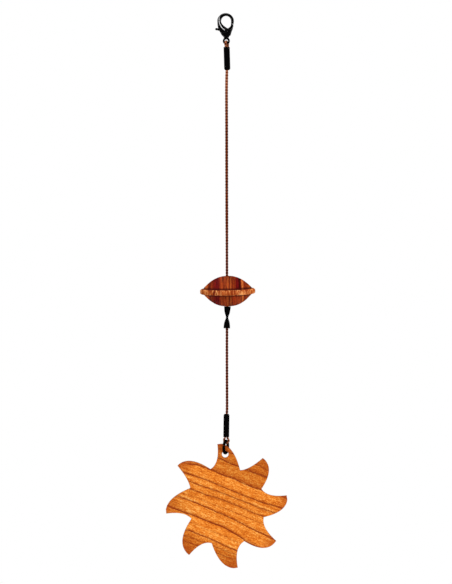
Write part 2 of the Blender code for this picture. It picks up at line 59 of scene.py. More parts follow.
def node(tree, kind, *values, out=0, **settings):
    """Add a shader node, link or set its first inputs in order, and give back one of its outputs."""
    made = tree.nodes.new("ShaderNode" + kind)
    for key, value in settings.items():
        setattr(made, key, value)
    for socket, value in zip(made.inputs, values):
        if isinstance(value, bpy.types.NodeSocket):
            tree.links.new(value, socket)
        elif value is not None:
            socket.default_value = value
    return made.outputs[out]


def new_material(name):
    """A material with its own node tree, and its shader node."""
    made = bpy.data.materials.new(name)
    made.use_nodes = True
    return made, made.node_tree, made.node_tree.nodes["Principled BSDF"]


def set_shader(tree, shader, **sockets):
    """Link or set the shader's sockets, named with underscores for spaces."""
    for key, value in sockets.items():
        socket = shader.inputs[key.replace("_", " ")]
        if isinstance(value, bpy.types.NodeSocket):
            tree.links.new(value, socket)
        else:
            socket.default_value = value


def ramp(tree, factor, stops):
    """A colour ramp through stops of place and colour, in order of place."""
    made = tree.nodes.new("ShaderNodeValToRGB")
    tree.links.new(factor, made.inputs[0])
    elements = made.color_ramp.elements
    elements.remove(elements[1])
    for number, (place, colour) in enumerate(stops):
        stop = elements[0] if number == 0 else elements.new(place)
        stop.position = place
        stop.color = (*colour, 1.0)
    return made.outputs[0]


def bump(tree, height, depth, strength):
    """Relief of a height from 0 to 1 that stands depth millimetres."""
    made = tree.nodes.new("ShaderNodeBump")
    made.inputs["Strength"].default_value = strength
    made.inputs["Distance"].default_value = depth * MM
    tree.links.new(height, made.inputs["Height"])
    return made.outputs[0]


camera_data = bpy.data.cameras.new("camera")
camera_data.lens = LENS
camera_data.sensor_width = SENSOR
camera_data.clip_start = 0.05
camera = bpy.data.objects.new("camera", camera_data)
camera.location = (VIEW_CENTRE[0] * MM, -VIEW_HEIGHT * LENS / SENSOR * MM, VIEW_CENTRE[2] * MM)
camera.rotation_euler = (math.pi / 2, 0.0, 0.0)
bpy.context.scene.collection.objects.link(camera)
bpy.context.scene.camera = camera

world = bpy.data.worlds.new("white_ground")
world.use_nodes = True
seen = node(world.node_tree, "LightPath")
mirrored = seen.node.outputs["Is Glossy Ray"]
around = node(world.node_tree, "MapRange", mirrored, 0.0, 1.0, GROUND_GLOW, GROUND_MIRROR)
glow = node(world.node_tree, "MapRange", seen, 0.0, 1.0, around, 1.0)
world.node_tree.nodes["Background"].inputs["Color"].default_value = (1.0, 1.0, 1.0, 1.0)
world.node_tree.links.new(glow, world.node_tree.nodes["Background"].inputs["Strength"])
bpy.context.scene.world = world
bpy.context.scene.view_settings.view_transform = "Standard"


def add_softbox(name, place, width, height, power):
    """A soft box at a place in millimetres, turned to the middle of the view."""
    light = bpy.data.lights.new(name, "AREA")
    light.shape = "RECTANGLE"
    light.size = width * MM
    light.size_y = height * MM
    light.energy = power
    thing = bpy.data.objects.new(name, light)
    spot = Vector(place) * MM
    thing.location = spot
    thing.rotation_euler = (Vector(VIEW_CENTRE) * MM - spot).to_track_quat("-Z", "Y").to_euler()
    bpy.context.scene.collection.objects.link(thing)


add_softbox("left_softbox", (-1100.0, -1000.0, -350.0), 600.0, 1700.0, 10.0)
add_softbox("right_softbox", (1100.0, -900.0, 50.0), 700.0, 700.0, 9.0)
add_softbox("top_softbox", (-150.0, -500.0, 900.0), 700.0, 700.0, 7.0)
add_softbox("back_softbox", (-500.0, 800.0, 1500.0), 800.0, 800.0, 7.0)


def mesh_object(name, points, faces, **fields):
    """Make a smooth mesh from points in millimetres and faces. Fields are numbers or vectors kept on each point."""
    mesh = bpy.data.meshes.new(name)
    mesh.from_pydata((np.asarray(points) * MM).tolist(), [], faces)
    for key, value in fields.items():
        value = np.asarray(value, np.float32)
        kind, slot = ("FLOAT", "value") if value.ndim == 1 else ("FLOAT_VECTOR", "vector")
        mesh.attributes.new(key, kind, "POINT").data.foreach_set(slot, value.ravel())
    mesh.shade_smooth()
    thing = bpy.data.objects.new(name, mesh)
    bpy.context.scene.collection.objects.link(thing)
    return thing


def dress(thing, material, body, slot, *nodes):
    """Give a piece its material and its body, and hide the CAD nodes that it stands for. The slot is not used."""
    thing.data.materials.clear()
    thing.data.materials.append(material)
    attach(thing, body)
    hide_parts(*nodes)


floor_turns = np.linspace(0, 2 * np.pi, 96, endpoint=False)
floor_edge = np.stack([
    FLOOR_RADIUS * np.cos(floor_turns),
    FLOOR_RADIUS * np.sin(floor_turns),
    np.full(96, FLOOR_HEIGHT),
], axis=1)
floor = mesh_object("floor", floor_edge, [tuple(range(96))])
floor_paint, floor_tree, floor_shader = new_material("floor_paint")
floor_cloud = node(floor_tree, "TexNoise", node(floor_tree, "TexCoord", out=3), None, 6.0, 3.0)
set_shader(
    floor_tree,
    floor_shader,
    Base_Color=node(floor_tree, "MixRGB", floor_cloud, (0.80, 0.79, 0.77, 1.0), (0.86, 0.85, 0.84, 1.0)),
    Roughness=0.8,
)
floor.data.materials.append(floor_paint)


# Braided cord
# One thin cord of brown yarn, braided round from four strands, runs from the top ferrule through the striker to
# the stop, and on to the bottom ferrule. It hangs straight under the sail's weight.

BRAID_PITCH = 2.95
UPPER_ROUTE = (
    (0.52, 0.0, -24.6),
    (0.36, 0.0, -28.5),
    (0.22, 0.0, -37.0),
    (0.27, 0.0, -57.0),
    (0.32, 0.0, -87.0),
    (0.41, 0.0, -116.0),
    (0.44, 0.0, -130.0),
    (0.56, 0.0, -140.0),
    (0.6, 0.0, -147.0),
)
LOWER_ROUTE = (
    (0.44, 0.0, -154.5),
    (0.43, 0.0, -159.0),
    (0.41, 0.0, -166.0),
    (0.44, 0.0, -182.0),
    (0.47, 0.0, -191.0),
    (0.46, 0.0, -196.5),
    (0.3, 0.0, -200.0),
    (0.22, 0.0, -203.0),
)


def even_path(stops, spacing):
    """Points a set distance apart along the smooth curve through every stop.

    Between two stops it is the cubic whose slope at each is half the step from the stop before to the one after.
    """
    stops = np.asarray(stops, float)
    ends = np.vstack([2 * stops[0] - stops[1], stops, 2 * stops[-1] - stops[-2]])
    a, b, c, d = ends[:-3, None], ends[1:-2, None], ends[2:-1, None], ends[3:, None]
    t = np.linspace(0, 1, 40, endpoint=False)[None, :, None]
    fine = b + ((c - a) * t + (2 * a - 5 * b + 4 * c - d) * t**2 + (3 * b - a - 3 * c + d) * t**3) / 2
    fine = np.vstack([fine.reshape(-1, stops.shape[1]), stops[-1]])
    run = np.concatenate([[0.0], np.cumsum(np.linalg.norm(np.diff(fine, axis=0), axis=1))])
    places = np.linspace(0, run[-1], max(2, round(run[-1] / spacing) + 1))
    return np.stack([np.interp(places, run, column) for column in fine.T], axis=1)


def length_of(path):
    return float(np.linalg.norm(np.diff(path, axis=0), axis=1).sum())


def unit(vectors):
    return vectors / np.linalg.norm(vectors, axis=-1, keepdims=True)


def tube_faces(rings, sides, first=0):
    """Quads between rings of equal points, with a flat face over each end."""
    ring = np.arange(rings - 1)[:, None] * sides
    side = np.arange(sides)[None, :]
    after = (side + 1) % sides
    quads = np.stack([ring + side, ring + after, ring + sides + after, ring + sides + side], axis=-1)
    faces = (quads.reshape(-1, 4) + first).tolist()
    last = first + (rings - 1) * sides
    faces.append(list(range(first + sides - 1, first - 1, -1)))
    faces.append(list(range(last, last + sides)))
    return faces


def braid(name, path, side, thickness=1.0):
    """A round braid of four strands along a path, two wound each way.

    A strand winds once round in each pitch. Its distance from the path is a core plus a lift that swings twice
    in each pitch, and the two strands that wind back have the opposite lift, so that all go over and under.
    Each strand's section is an oval, wide round the cord. A straight heart strand, heart in radius, fills the
    middle. Thickness scales all of it along the path.
    """
    core, lift, half_height, half_width = 0.35, 0.14, 0.245, 0.45
    heart = 0.36
    strand_sides = 10
    count = len(path)
    run = np.concatenate([[0.0], np.cumsum(np.linalg.norm(np.diff(path, axis=0), axis=1))])
    ahead = unit(np.gradient(path, axis=0))
    first = unit(np.asarray(side, float) - (ahead @ np.asarray(side, float))[:, None] * ahead)
    second = np.cross(ahead, first)
    size = np.broadcast_to(thickness, count)
    way = np.array([1.0, -1.0, 1.0, -1.0])[:, None]
    start = np.array([0.0, 0.0, np.pi, np.pi])[:, None]
    turn = way * 2 * np.pi * run / BRAID_PITCH + start
    reach = (core + way * lift * np.cos(4 * np.pi * run / BRAID_PITCH)) * size
    out = np.cos(turn)[..., None] * first + np.sin(turn)[..., None] * second
    centre = path + reach[..., None] * out
    heading = unit(np.gradient(centre, axis=1))
    wide = unit(np.cross(heading, out))
    tall = np.cross(wide, heading)
    around = np.linspace(0, 2 * np.pi, strand_sides, endpoint=False)
    rise = (np.cos(around) * half_height)[:, None] * tall[:, :, None, :]
    spread = (np.sin(around) * half_width)[:, None] * wide[:, :, None, :]
    points = centre[:, :, None, :] + (rise + spread) * size[None, :, None, None]
    yarn = np.stack([
        np.broadcast_to(run[None, :, None] + 7.3 * np.arange(4)[:, None, None], points.shape[:3]),
        np.broadcast_to(np.cos(around), points.shape[:3]),
        np.broadcast_to(np.sin(around), points.shape[:3]),
    ], axis=-1)
    height = (reach[:, :, None] + np.cos(around) * half_height * size[:, None]) / size[:, None]
    wheel = np.cos(around)[:, None] * first[:, None] + np.sin(around)[:, None] * second[:, None]
    middle = path[:, None] + heart * size[:, None, None] * wheel
    points = np.concatenate([points, middle[None]])
    yarn = np.concatenate([yarn, yarn[:1] + 31.0])
    height = np.concatenate([height, np.full((1, count, strand_sides), 0.3)])
    faces = []
    for strand in range(5):
        faces += tube_faces(count, strand_sides, strand * count * strand_sides)
    return mesh_object(name, points.reshape(-1, 3), faces, yarn=yarn.reshape(-1, 3), height=height.ravel())


def make_cord_yarn():
    """Brown yarn: each strand is a bundle of fine twisted threads, with painted light where it stands proud and painted
    shade in between.
    """
    made, tree, shader = new_material("cord_yarn")
    yarn = node(tree, "Attribute", out=1, attribute_name="yarn")
    height = node(tree, "Attribute", out=2, attribute_name="height")
    twisted = node(tree, "Mapping", yarn, None, None, (3.0, 6.0, 6.0))
    threads = node(tree, "TexNoise", twisted, None, 1.4, 3.0, 0.6)
    dye = node(tree, "TexNoise", node(tree, "TexCoord", out=3), None, 160.0, 2.0)
    # Painted light and shade: each strand's crown is painted pale and the hollows between strands nearly black.
    proud_light_and_shade = node(tree, "MapRange", height, 0.36, 0.74, 0.0, 1.0)
    level = node(tree, "Math", proud_light_and_shade, node(tree, "MapRange", threads, 0.3, 0.7, -0.20, 0.20), operation="ADD")
    pale = ramp(tree, level, (
        (0.15, (0.025, 0.003, 0.001)), (0.5, (0.14, 0.028, 0.008)), (0.9, (0.53, 0.18, 0.085)),
    ))
    deep = ramp(tree, level, (
        (0.15, (0.010, 0.001, 0.001)), (0.5, (0.050, 0.005, 0.001)), (0.9, (0.21, 0.040, 0.009)),
    ))
    # The cord is made paler near its top and at its foot.
    height_up = node(tree, "SeparateXYZ", node(tree, "TexCoord", out=3), out=2)
    paler_near_top = node(tree, "MapRange", height_up, -0.055, -0.026, 0.0, 1.0)
    at_foot = node(tree, "MapRange", height_up, -0.206, -0.210, 0.0, 0.7)
    paler = node(tree, "Math", paler_near_top, at_foot, operation="MAXIMUM")
    shade = node(tree, "MapRange", dye, 0.35, 0.7, 0.82, 1.15)
    colour = node(tree, "MixRGB", 1.0, node(tree, "MixRGB", paler, deep, pale), shade, blend_type="MULTIPLY")
    set_shader(
        tree,
        shader,
        Base_Color=colour,
        Roughness=0.8,
        Specular_IOR_Level=0.04,
        Normal=bump(tree, threads, 0.04, 0.6),
    )
    return made


cord_yarn = make_cord_yarn()
for cord_name, cord_route, cord_node in (
    ("upper_cord", UPPER_ROUTE, "cord_upper"),
    ("lower_cord", LOWER_ROUTE, "cord_lower"),
):
    cord_path = even_path(cord_route, 0.2)
    cord_swell = np.interp(-cord_path[:, 2], (24.6, 30.0, 100.0, 118.0), (1.0, 1.1, 1.1, 0.98))
    cord = braid(cord_name, cord_path, (0.0, 1.0, 0.0), cord_swell)
    dress(cord, cord_yarn, "line", "braided_cord", cord_node)


# Cord loops
# At each end a short length of the same cord is doubled back: over the clasp's eye at the top, and round the link
# ring at the bottom. Both legs go up or down into a ferrule, squeezed a little thinner there.

LOOP_THICKNESS = 1.04 / 1.35
LEG_THICKNESS = 0.9 / 1.35
LEG_OFFSET = 0.53
LEG_DEPTH = 4.0
TOP_FERRULE = ((0.27, 0.0, -15.6), (0.59, 0.0, -27.1))
BOTTOM_FERRULE = ((0.06, 0.0, -210.6), (0.22, 0.0, -199.0))


def loop_path(ferrule, mouth_drop, aside, bend):
    """The route of a loop: up one leg out of the ferrule, round the bend, and down the other."""
    mouth_end, far_end = np.array(ferrule[0]), np.array(ferrule[1])
    inward = unit(far_end - mouth_end)
    deep, mouth = mouth_end + inward * LEG_DEPTH, mouth_end + inward * mouth_drop
    aside = np.array(aside)
    stops = [deep - aside, mouth - aside] + [np.array(p) for p in bend] + [mouth + aside, deep + aside]
    return even_path(stops, 0.16)


def thickness_by_leg(path, mouth_height, upward):
    """Full thickness in the open, and the legs' own thickness inside the ferrule."""
    into = (mouth_height - path[:, 2]) * upward
    return LOOP_THICKNESS + (LEG_THICKNESS - LOOP_THICKNESS) * np.clip(into / 0.4, 0, 1)


slant = LEG_OFFSET * math.sqrt(0.5)
top_bend = (
    (-0.16, -1.08, -14.9),
    (-0.28, -1.48, -13.9),
    (-0.18, -1.12, -13.0),
    (0.12, 0.0, -12.75),
    (0.44, 1.12, -13.0),
    (0.88, 1.48, -13.9),
    (0.82, 1.08, -14.9),
)
top_path = loop_path(TOP_FERRULE, 0.3, (slant, slant, 0.0), top_bend)
loosened = np.interp(top_path[:, 2], (-15.6, -15.0, -13.9, -13.0), (1.0, 1.3, 1.3, 1.0))
top_thickness = thickness_by_leg(top_path, -15.6, 1.0) * loosened
top_loop = braid("top_loop_braid", top_path, (1.0, 0.0, 0.0), top_thickness)
dress(top_loop, cord_yarn, "line", "braided_cord", "top_loop")

bottom_bend = (
    (-0.98, 0.0, -211.7),
    (-1.0, 0.0, -212.7),
    (-0.5, 0.0, -213.42),
    (0.1, 0.0, -213.62),
    (0.7, 0.0, -213.42),
    (1.22, 0.0, -212.7),
    (1.16, 0.0, -211.7),
)
bottom_path = loop_path(BOTTOM_FERRULE, 0.1, (LEG_OFFSET, 0.0, 0.0), bottom_bend)
bottom_loop = braid("bottom_loop_braid", bottom_path, (0.0, 1.0, 0.0), thickness_by_leg(bottom_path, -210.6, -1.0))
dress(bottom_loop, cord_yarn, "line", "braided_cord", "bottom_loop")


# Ferrules
# Two thin black tubes hold the cord to its loops. One end is plain and takes both legs, and the other is crimped
# in round the single cord with four small pinches.

TUBE_WALL = 0.27
CRIMPED_RADIUS = 1.16
CRIMPED_BORE = 0.92
CRIMP_LENGTH = 0.9


def make_black_finish(name, roughness, unevenness, shine):
    """Black enamel over metal: the coat is slightly uneven, and worn to dark grey along the sharpest edges.

    A number kept on the points of a piece, where it has one, paints a highlight there as a strip of bright metal:
    all of it from 1 up, and none from 0 down.
    """
    made, tree, shader = new_material(name)
    place = node(tree, "TexCoord", out=3)
    coarse = node(tree, "TexNoise", place, None, 900.0, 3.0)
    fine = node(tree, "TexNoise", place, None, 6000.0, 4.0)
    worn = node(tree, "MapRange", node(tree, "NewGeometry", out=7), 0.56, 0.72, 0.0, 0.7)
    patchy = node(tree, "Math", worn, node(tree, "MapRange", coarse, 0.35, 0.65, 0.0, 1.0), operation="MULTIPLY")
    coated = node(tree, "MixRGB", patchy, (0.0008, 0.0008, 0.0010, 1.0), (0.02, 0.019, 0.018, 1.0))
    # Painted highlight: bright metal where a piece's highlight number is set.
    through = node(tree, "MapRange", node(tree, "Attribute", out=2, attribute_name="painted_highlight_metal"), 0.0, 1.0, 0.0, 1.0)
    painted_highlight_metal = node(tree, "Math", through, node(tree, "MapRange", coarse, 0.35, 0.65, 0.8, 1.0), operation="MULTIPLY")
    colour = node(tree, "MixRGB", painted_highlight_metal, coated, (0.93, 0.93, 0.94, 1.0))
    gloss = node(tree, "MapRange", coarse, 0.3, 0.7, roughness - 0.06, roughness + 0.08)
    set_shader(
        tree,
        shader,
        Base_Color=colour,
        Metallic=painted_highlight_metal,
        Roughness=node(tree, "MapRange", painted_highlight_metal, 0.0, 1.0, gloss, 0.45),
        Specular_IOR_Level=shine,
        Normal=bump(tree, fine, unevenness, 0.3),
    )
    return made


satin_black = make_black_finish("satin_black", 0.6, 0.004, 0.02)
gloss_black = make_black_finish("gloss_black", 0.2, 0.002, 0.28)


def turned_faces(rows, columns):
    """Quads of a closed profile of rows turned round into columns."""
    row = np.arange(rows)[:, None]
    column = np.arange(columns)[None, :]
    row_after, column_after = (row + 1) % rows, (column + 1) % columns
    quads = np.stack([
        row * columns + column,
        row * columns + column_after,
        row_after * columns + column_after,
        row_after * columns + column,
    ], axis=-1)
    return quads.reshape(-1, 4).tolist()


def ferrule_points(radius, ends, columns):
    """A closed wall profile of radius and run, turned about the line between two ends.

    The four pinches take a share of the radius that follows the cosine of four times the turn, over the crimp.
    """
    start, end = np.array(ends[0]), np.array(ends[1])
    length = np.linalg.norm(end - start)
    bore = radius - TUBE_WALL
    lip = 0.12
    outer = even_path([
        (bore, lip / 2), (bore + 0.08, 0.0), (radius - lip, 0.0), (radius - 0.03, 0.04), (radius, lip),
        (radius, 1.0), (radius, length - CRIMP_LENGTH - 0.5), (radius, length - CRIMP_LENGTH),
        (radius - 0.09, length - CRIMP_LENGTH * 0.5), (CRIMPED_RADIUS, length - 0.1),
        (CRIMPED_RADIUS - 0.1, length),
        (CRIMPED_BORE, length - 0.02), (CRIMPED_BORE, length - 0.2),
        (bore, length - CRIMP_LENGTH), (bore, length / 2),
    ], 0.09)
    reach, run = outer[:, 0], outer[:, 1]
    turns = np.linspace(0, 2 * np.pi, columns, endpoint=False)
    crimped = np.clip((run - (length - CRIMP_LENGTH * 1.1)) / CRIMP_LENGTH, 0, 1)
    pinch = 1 - 0.05 * crimped[:, None] * (1 + np.cos(4 * turns)) / 2
    ahead = (end - start) / length
    across = np.array([0.0, 1.0, 0.0])
    beside = np.cross(ahead, across)
    wheel = np.cos(turns)[:, None] * across + np.sin(turns)[:, None] * beside
    points = start + run[:, None, None] * ahead + (reach[:, None] * pinch)[..., None] * wheel
    return points.reshape(-1, 3), turned_faces(len(outer), columns)


for tube_name, tube_radius, tube_ends, tube_node in (
    ("top_crimp_tube", 1.54, TOP_FERRULE, "top_ferrule"),
    ("bottom_crimp_tube", 1.46, BOTTOM_FERRULE, "bottom_ferrule"),
):
    tube_points, tube_quads = ferrule_points(tube_radius, tube_ends, 64)
    tube = mesh_object(tube_name, tube_points, tube_quads)
    dress(tube, satin_black, "line", "black_metal", tube_node)


# Stop
# A black tube pressed flat across its middle under the striker. From the front it is narrow at the waist, and
# from the side the same metal spreads wide there. Its two mouths stay round.

STOP_TOP = (0.66, 0.0, -145.3)
STOP_FOOT = (0.34, 0.0, -156.2)
STOP_WAIST_HALF_WIDTH = 0.6
STOP_WAIST_HALF_DEPTH = 1.95
STOP_SWELL = 1.18
STOP_SWELL_REACH = 2.0
STOP_MOUTH_RADIUS = 1.2
STOP_MOUTH_DEPTH = 2.1


def stop_points(columns):
    """Rings along the stop's axis, oval in section.

    Half the width is the waist's plus swell times d squared over d squared plus reach squared, for a distance d
    from the middle. Half the depth falls from the waist's depth to that width at the mouths.
    """
    high, low = np.array(STOP_TOP), np.array(STOP_FOOT)
    up = unit(high - low)
    half = np.linalg.norm(high - low) / 2
    drop = np.linspace(-half, half, 101)
    share = drop**2 / (drop**2 + STOP_SWELL_REACH**2)
    width = STOP_WAIST_HALF_WIDTH + STOP_SWELL * share
    depth = width[0] + (STOP_WAIST_HALF_DEPTH - width[0]) * (1 - share / share[0]) ** 0.8
    rim = np.clip((np.abs(drop) - half + 0.1) / 0.1, 0, 1) ** 2 * 0.06
    width, depth = width - rim, depth - rim
    mouth = np.linspace(0, 1, 12)
    inner_run = half - STOP_MOUTH_DEPTH * mouth
    inner_radius = STOP_MOUTH_RADIUS - 0.2 * mouth
    inner_run = np.append(inner_run, inner_run[-1] - 0.15)
    inner_radius = np.append(inner_radius, 0.75)
    runs = np.concatenate([-inner_run[::-1], drop, inner_run])
    widths = np.concatenate([inner_radius[::-1], width, inner_radius])
    depths = np.concatenate([inner_radius[::-1], depth, inner_radius])
    turns = np.linspace(0, 2 * np.pi, columns, endpoint=False)
    across, beside = np.cross([0.0, 1.0, 0.0], up), np.array([0.0, 1.0, 0.0])
    wheel = (widths[:, None] * np.cos(turns))[..., None] * across
    wheel = wheel + (depths[:, None] * np.sin(turns))[..., None] * beside
    points = (high + low) / 2 + runs[:, None, None] * up + wheel
    return points.reshape(-1, 3), len(runs)


crimp_points, crimp_rings = stop_points(56)
crimp = mesh_object("crimped_stop", crimp_points, tube_faces(crimp_rings, 56))
dress(crimp, satin_black, "line", "black_metal", "stop_ferrule")


# Striker
# A bead turned from one block of dark striped wood, with the stripes upright. Its rim stands proud between two
# hollow fillets and is sanded back to paler wood. The cord runs through a hole along its axis.

STRIKER_CENTRE = (0.8, 0.017, -138.0)
STRIKER_LEAN = math.radians(-1.1)
STRIKER_NOD = math.radians(4.0)
RIM_RADIUS = 13.8
TOP_NECK = (11.7, 2.45)
FOOT_NECK = (11.45, 1.8)
TOP_HEIGHT = 7.95
FOOT_HEIGHT = 7.2
BORE_RADIUS = 1.35
TOP_DOME = (TOP_NECK, (10.0, 4.05), (8.0, 5.62), (6.0, 6.75), (4.0, 7.5), (2.5, 7.86), (1.47, 7.93))
FOOT_DOME = (FOOT_NECK, (10.6, 2.6), (9.6, 3.6), (8.45, 4.55), (7.1, 5.45), (5.9, 6.1), (3.9, 6.8), (1.47, 7.18))


def striker_profile():
    """The closed profile, from the rim up over the top dome, down the bore and round under the foot dome.

    Each dome is the smooth curve through its named places, as radius and height.
    """
    rim = RIM_RADIUS
    top_rim = even_path([
        (rim, 0.3), (rim - 0.05, 0.95), (rim - 0.32, 1.38), (rim - 0.8, 1.6), (rim - 1.3, 1.72),
        (rim - 1.75, 1.98), TOP_NECK,
    ], 0.12)
    foot_rim = even_path([
        (rim, -0.3), (rim - 0.05, 0.4), (rim - 0.36, 0.78), (rim - 0.85, 0.95), (rim - 1.5, 1.1),
        (rim - 2.0, 1.35), FOOT_NECK,
    ], 0.12)
    top = np.vstack([top_rim, even_path(TOP_DOME, 0.2)[1:]])
    foot = np.vstack([foot_rim, even_path(FOOT_DOME, 0.2)[1:]])
    bore_top = np.linspace(TOP_HEIGHT - 0.12, -FOOT_HEIGHT + 0.12, 24)
    bore = np.stack([np.full(24, BORE_RADIUS), bore_top], axis=1)
    foot = foot * (1.0, -1.0)
    return np.vstack([top, bore, foot[:0:-1]])


def turn_about(points, nod, lean):
    """Turn points by the nod about X and then by the lean about Y."""
    turn = Matrix.Rotation(lean, 3, "Y") @ Matrix.Rotation(nod, 3, "X")
    return points @ np.array(turn).T


# The upright stripes from left to right: the place across the wood's face, and the colour there
DARK, PURPLE, BROWN, AMBER = (0.150, 0.009, 0.002), (0.120, 0.003, 0.003), (0.27, 0.032, 0.005), (0.44, 0.090, 0.013)
STRIPES = (
    (-14.0, AMBER),
    (-10.6, AMBER),
    (-9.4, BROWN),
    (-8.6, (0.09, 0.006, 0.002)),
    (-8.1, BROWN),
    (-7.2, DARK),
    (-6.0, PURPLE),
    (-4.6, PURPLE),
    (-3.8, (0.22, 0.022, 0.004)),
    (-3.0, (0.29, 0.044, 0.007)),
    (-2.3, (0.17, 0.016, 0.003)),
    (-1.5, (0.28, 0.042, 0.007)),
    (-0.5, (0.22, 0.025, 0.005)),
    (0.1, (0.38, 0.080, 0.014)),
    (0.7, (0.22, 0.025, 0.005)),
    (1.1, (0.07, 0.005, 0.002)),
    (1.6, (0.38, 0.080, 0.014)),
    (2.2, DARK),
    (2.9, BROWN),
    (3.9, (0.22, 0.022, 0.004)),
    (4.5, PURPLE),
    (5.6, PURPLE),
    (6.2, (0.025, 0.003, 0.002)),
    (6.7, DARK),
    (7.3, (0.60, 0.15, 0.028)),
    (7.9, BROWN),
    (8.7, (0.20, 0.020, 0.004)),
    (9.6, BROWN),
    (11.4, AMBER),
    (14.0, AMBER),
)


def make_striker_wood():
    """Dark striped wood: upright stripes across X, and fine streaks and pores drawn out along Z.

    The rim is sanded to paler wood, brightened towards its right end by painted light, and painted shade darkens
    the two hollow fillets beside it.
    """
    made, tree, shader = new_material("striped_wood")
    timber = node(tree, "Attribute", out=1, attribute_name="timber")
    rim = node(tree, "Attribute", out=2, attribute_name="rim")
    fillet = node(tree, "Attribute", out=2, attribute_name="fillet")
    slow = node(tree, "TexNoise", node(tree, "Mapping", timber, None, None, (0.30, 0.03, 0.04)), None, 1.0, 2.0)
    across = node(tree, "SeparateXYZ", timber)
    bent = node(tree, "Math", across, node(tree, "MapRange", slow, 0.0, 1.0, -0.6, 0.6), operation="ADD")
    factor = node(tree, "MapRange", bent, -14.0, 14.0, 0.0, 1.0)
    through = ramp(tree, factor, [((place + 14.0) / 28.0, colour) for place, colour in STRIPES])
    # The right-hand dark stripe runs out below the rim
    from_dark = node(tree, "Math", node(tree, "Math", bent, 5.6, operation="SUBTRACT"), operation="ABSOLUTE")
    runs_out = node(tree, "Math", node(tree, "MapRange", from_dark, 1.0, 1.9, 0.8, 0.0),
                    node(tree, "MapRange", across.node.outputs[2], 0.0, -2.0, 0.0, 1.0), operation="MULTIPLY")
    stripes = node(tree, "MixRGB", runs_out, through, (0.30, 0.042, 0.008, 1.0))
    streaks = node(tree, "TexNoise", node(tree, "Mapping", timber, None, None, (1.7, 0.10, 0.16)), None, 1.0, 3.0, 0.65)
    flecks = node(tree, "TexNoise", node(tree, "Mapping", timber, None, None, (2.4, 0.5, 0.9)), None, 1.0, 2.0)
    pores = node(tree, "TexNoise", node(tree, "Mapping", timber, None, None, (4.5, 0.3, 0.4)), None, 1.0, 2.0)
    tone = node(tree, "Math", node(tree, "MapRange", streaks, 0.32, 0.68, 0.42, 1.55),
                node(tree, "MapRange", flecks, 0.3, 0.7, 0.75, 1.3), operation="MULTIPLY")
    striped = node(tree, "MixRGB", 1.0, stripes, tone, blend_type="MULTIPLY")
    # Painted shade in the two hollow fillets beside the rim
    fillet_shade = node(tree, "Math", fillet, 0.9, operation="MULTIPLY")
    domes = node(tree, "MixRGB", fillet_shade, striped, (0.045, 0.003, 0.002, 1.0))
    nicks = node(tree, "TexNoise", node(tree, "Mapping", timber, None, None, (2.0, 0.7, 0.22)), None, 1.0, 2.0)
    grain = node(tree, "Math", node(tree, "MapRange", streaks, 0.38, 0.62, 0.0, 0.45),
                 node(tree, "MapRange", nicks, 0.42, 0.58, 0.0, 0.6), operation="ADD")
    sanded = ramp(tree, grain, (
        (0.10, (0.14, 0.014, 0.003)), (0.45, (0.34, 0.060, 0.010)), (0.70, (0.55, 0.15, 0.033)), (0.95, (1.0, 0.50, 0.18)),
    ))
    lighter = node(tree, "MixRGB", 1.0, stripes, (1.7, 2.1, 2.3, 1.0), blend_type="MULTIPLY")
    # Painted light: the sanded rim is brightened towards its right end, where the light falls more strongly
    rim_light_from_right = node(tree, "MapRange", across, -13.0, 13.0, 0.85, 1.25)
    edge = node(tree, "MixRGB", 1.0, node(tree, "MixRGB", 0.2, sanded, lighter), rim_light_from_right, blend_type="MULTIPLY")
    wood = node(tree, "MixRGB", rim, domes, edge)
    pits = node(tree, "MapRange", pores, 0.60, 0.70, 0.0, 0.5)
    colour = node(tree, "MixRGB", pits, wood, (0.04, 0.004, 0.002, 1.0))
    set_shader(
        tree,
        shader,
        Base_Color=colour,
        Roughness=node(tree, "MapRange", streaks, 0.3, 0.7, 0.5, 0.65),
        Specular_IOR_Level=0.02,
        Normal=bump(tree, streaks, 0.04, 0.25),
    )
    return made


bead_profile = striker_profile()
bead_turns = np.linspace(0, 2 * np.pi, 160, endpoint=False)
bead_local = np.stack([
    bead_profile[:, :1] * np.cos(bead_turns),
    bead_profile[:, :1] * np.sin(bead_turns),
    np.broadcast_to(bead_profile[:, 1:], (len(bead_profile), 160)),
], axis=-1).reshape(-1, 3)
bead_radius = np.hypot(bead_local[:, 0], bead_local[:, 1])
bead_rim = np.clip((bead_radius - 12.75) / 0.35, 0, 1)
# Where the painted shade of the fillets lies
bead_fillet_shade = np.clip(1.2 - np.abs(bead_radius - 12.15) / 0.75, 0, 1)
bead = mesh_object(
    "striker_bead",
    turn_about(bead_local, STRIKER_NOD, STRIKER_LEAN) + STRIKER_CENTRE,
    turned_faces(len(bead_profile), 160),
    timber=bead_local,
    rim=bead_rim,
    fillet=bead_fillet_shade,
)
striker_wood = make_striker_wood()
dress(bead, striker_wood, "line", "striker_wood", "striker")


# Link ring
# A ring bent from black wire joins the lower loop to the sail. Its two cut ends meet on the near side with a hair
# of space between them.

RING_CENTRE = (-0.18, 0.0, -215.55)
RING_RADIUS = 3.2
RING_WIRE_RADIUS = 0.56
RING_TURN = math.radians(-18)
RING_LEAN = math.radians(3.4)
RING_SPLIT_ANGLE = math.radians(164)
RING_SPLIT_GAP = 0.25


